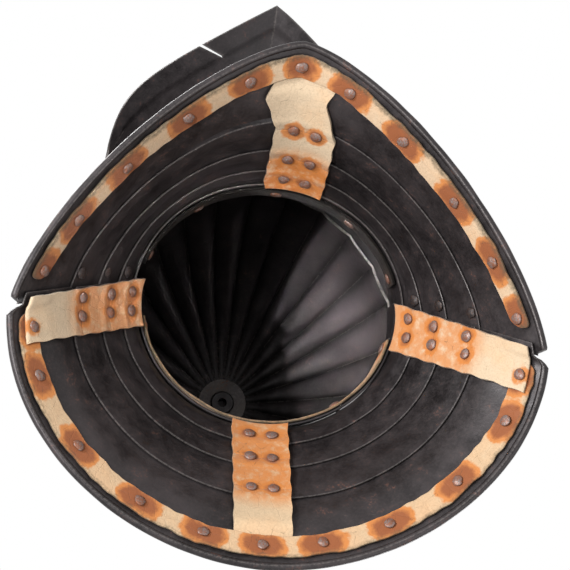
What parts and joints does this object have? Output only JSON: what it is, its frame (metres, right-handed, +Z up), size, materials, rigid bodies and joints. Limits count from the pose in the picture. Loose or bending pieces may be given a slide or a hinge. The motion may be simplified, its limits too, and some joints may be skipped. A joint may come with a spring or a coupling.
{
  "type": "cuirassier close helmet",
  "caption": "Blackened close helmet with a fluted skull, pointed peak, visor, bevor and flaring laminated neck guard joined by leather straps.",
  "frame": {"origin": "middle of the rim, on the plane that the two rolled rims stand on", "axes": "+Z up to the apex, the face looks along -Y, +X is the wearer's left"},
  "size_m": [0.288, 0.3482, 0.336],
  "materials": {
    "blackened_iron": "satin",
    "worn_iron": "worn",
    "buff_leather": "matte"
  },
  "bodies": {
    "skull_body": {"skull": "blackened_iron", "apex_washer": "blackened_iron", "finial_rosette": "worn_iron", "finial_stem": "blackened_iron", "rear_neck_lame": "blackened_iron", "collar_rivets": "worn_iron", "plume_tube": "blackened_iron", "plume_rivets": "worn_iron", "temple_bolt_left": "blackened_iron", "temple_bolt_right": "blackened_iron", "temple_rosette_left": "worn_iron", "temple_rosette_right": "worn_iron", "temple_nut_left": "blackened_iron", "temple_nut_right": "blackened_iron", "rear_neck_lining": "buff_leather", "rear_centre_strap": "buff_leather", "left_side_strap": "buff_leather", "right_side_strap": "buff_leather", "rear_strap_rivets_neck": "worn_iron", "bevor_hook_rivet": "worn_iron"},
    "ring_body": {"finial_ring": "worn_iron"},
    "bevor_body": {"bevor": "blackened_iron", "front_neck_lame": "blackened_iron", "chin_rivets": "worn_iron", "front_neck_lining": "buff_leather", "front_centre_strap": "buff_leather", "front_strap_rivets_neck": "worn_iron", "side_rivets_neck": "worn_iron", "bevor_stud": "worn_iron", "visor_hook_rivet": "worn_iron"},
    "visor_body": {"visor": "blackened_iron", "visor_peg": "worn_iron", "visor_stud": "worn_iron"},
    "peak_body": {"peak": "blackened_iron"},
    "front_lame_3_body": {"front_lame_3": "blackened_iron", "front_strap_rivets_3": "worn_iron", "side_rivets_3": "worn_iron"},
    "front_lame_2_body": {"front_lame_2": "blackened_iron", "front_strap_rivets_2": "worn_iron", "side_rivets_2": "worn_iron"},
    "front_rim_body": {"front_rim_lame": "blackened_iron", "front_rim_leather": "buff_leather", "front_rim_rivets": "worn_iron"},
    "rear_lame_3_body": {"rear_lame_3": "blackened_iron", "rear_strap_rivets_3": "worn_iron"},
    "rear_lame_2_body": {"rear_lame_2": "blackened_iron", "rear_strap_rivets_2": "worn_iron"},
    "rear_rim_body": {"rear_rim_lame": "blackened_iron", "rear_rim_leather": "buff_leather", "rear_rim_rivets": "worn_iron"},
    "bevor_hook_body": {"bevor_hook": "worn_iron"},
    "visor_hook_body": {"visor_hook": "worn_iron"}
  },
  "joints": [
    {"name": "bevor_swing", "type": "hinge", "parent": "skull_body", "child": "bevor_body", "pos_m": [0, 0.005, 0.207], "axis": [-1, 0, 0], "range_deg": [0, 38]},
    {"name": "visor_swing", "type": "hinge", "parent": "bevor_body", "child": "visor_body", "pos_m": [0, 0.005, 0.207], "axis": [-1, 0, 0], "range_deg": [0, 20]},
    {"name": "peak_swing", "type": "hinge", "parent": "visor_body", "child": "peak_body", "pos_m": [0, 0.005, 0.207], "axis": [-1, 0, 0], "range_deg": [0, 12]},
    {"name": "front_lame_3_tilt", "type": "hinge", "parent": "bevor_body", "child": "front_lame_3_body", "pos_m": [0, -0.01923, 0.06912], "axis": [-1, 0, 0], "range_deg": [0, 4], "deforming": ["front_centre_strap"]},
    {"name": "front_lame_2_tilt", "type": "hinge", "parent": "front_lame_3_body", "child": "front_lame_2_body", "pos_m": [0, -0.01526, 0.05444], "axis": [-1, 0, 0], "range_deg": [0, 4], "deforming": ["front_centre_strap"]},
    {"name": "front_rim_tilt", "type": "hinge", "parent": "front_lame_2_body", "child": "front_rim_body", "pos_m": [0, -0.01006, 0.03614], "axis": [-1, 0, 0], "range_deg": [0, 4], "deforming": ["front_centre_strap"]},
    {"name": "rear_lame_3_tilt", "type": "hinge", "parent": "skull_body", "child": "rear_lame_3_body", "pos_m": [0, -0.00373, 0.06686], "axis": [1, 0, 0], "range_deg": [0, 4], "deforming": ["rear_centre_strap", "left_side_strap", "right_side_strap"]},
    {"name": "rear_lame_2_tilt", "type": "hinge", "parent": "rear_lame_3_body", "child": "rear_lame_2_body", "pos_m": [0, 0.00091, 0.05218], "axis": [1, 0, 0], "range_deg": [0, 4], "deforming": ["rear_centre_strap", "left_side_strap", "right_side_strap"]},
    {"name": "rear_rim_tilt", "type": "hinge", "parent": "rear_lame_2_body", "child": "rear_rim_body", "pos_m": [0, 0.00692, 0.03379], "axis": [1, 0, 0], "range_deg": [0, 4], "deforming": ["rear_centre_strap", "left_side_strap", "right_side_strap"]},
    {"name": "ring_swing", "type": "hinge", "parent": "skull_body", "child": "ring_body", "pos_m": [0, 0.018, 0.331], "axis": [1, 0, 0], "range_deg": [0, 95]},
    {"name": "bevor_hook_turn", "type": "hinge", "parent": "skull_body", "child": "bevor_hook_body", "pos_m": [-0.07283, 0.02093, 0.128], "axis": [-0.8802, 0.3286, -0.3423], "range_deg": [-60, 0]},
    {"name": "visor_hook_turn", "type": "hinge", "parent": "bevor_body", "child": "visor_hook_body", "pos_m": [-0.07374, -0.05086, 0.148], "axis": [-0.8789, -0.4038, -0.2538], "range_deg": [-60, 0]}
  ]
}
